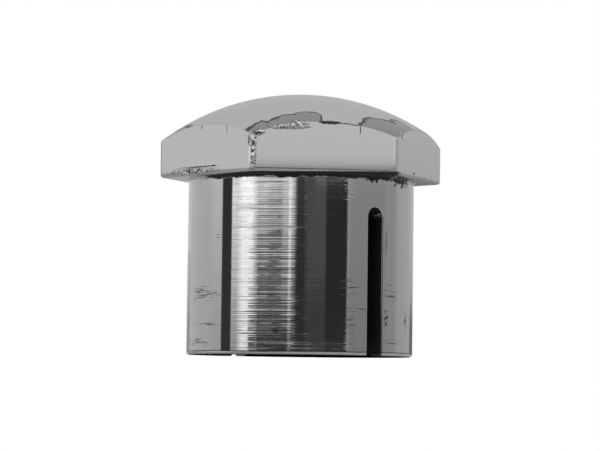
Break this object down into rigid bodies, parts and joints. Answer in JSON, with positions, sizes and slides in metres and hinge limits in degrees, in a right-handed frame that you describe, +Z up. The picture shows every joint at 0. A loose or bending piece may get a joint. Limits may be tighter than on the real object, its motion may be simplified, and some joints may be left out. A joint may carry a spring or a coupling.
{
  "type": "sleeve nut",
  "caption": "Chromed sleeve nut with a domed hexagon head on a cylindrical sleeve, blind threaded bore and clamping slots across the sleeve, closed onto the thread by a pinch bolt.",
  "frame": {"origin": "Centre of the open rim of the sleeve, which the nut stands on.", "axes": "+Z runs up the axis of the nut from the rim to the dome. Two opposite corners of the hexagon, and the slots under them, lie on X. Two opposite flats of the hexagon face +Y and -Y."},
  "size_m": [0.04, 0.035, 0.0368],
  "materials": {
    "chrome_plate": "bright chromium plate on turned steel, worn and lightly pitted"
  },
  "bodies": {
    "root": {"sleeve_nut": "chrome_plate"}
  },
  "joints": []
}
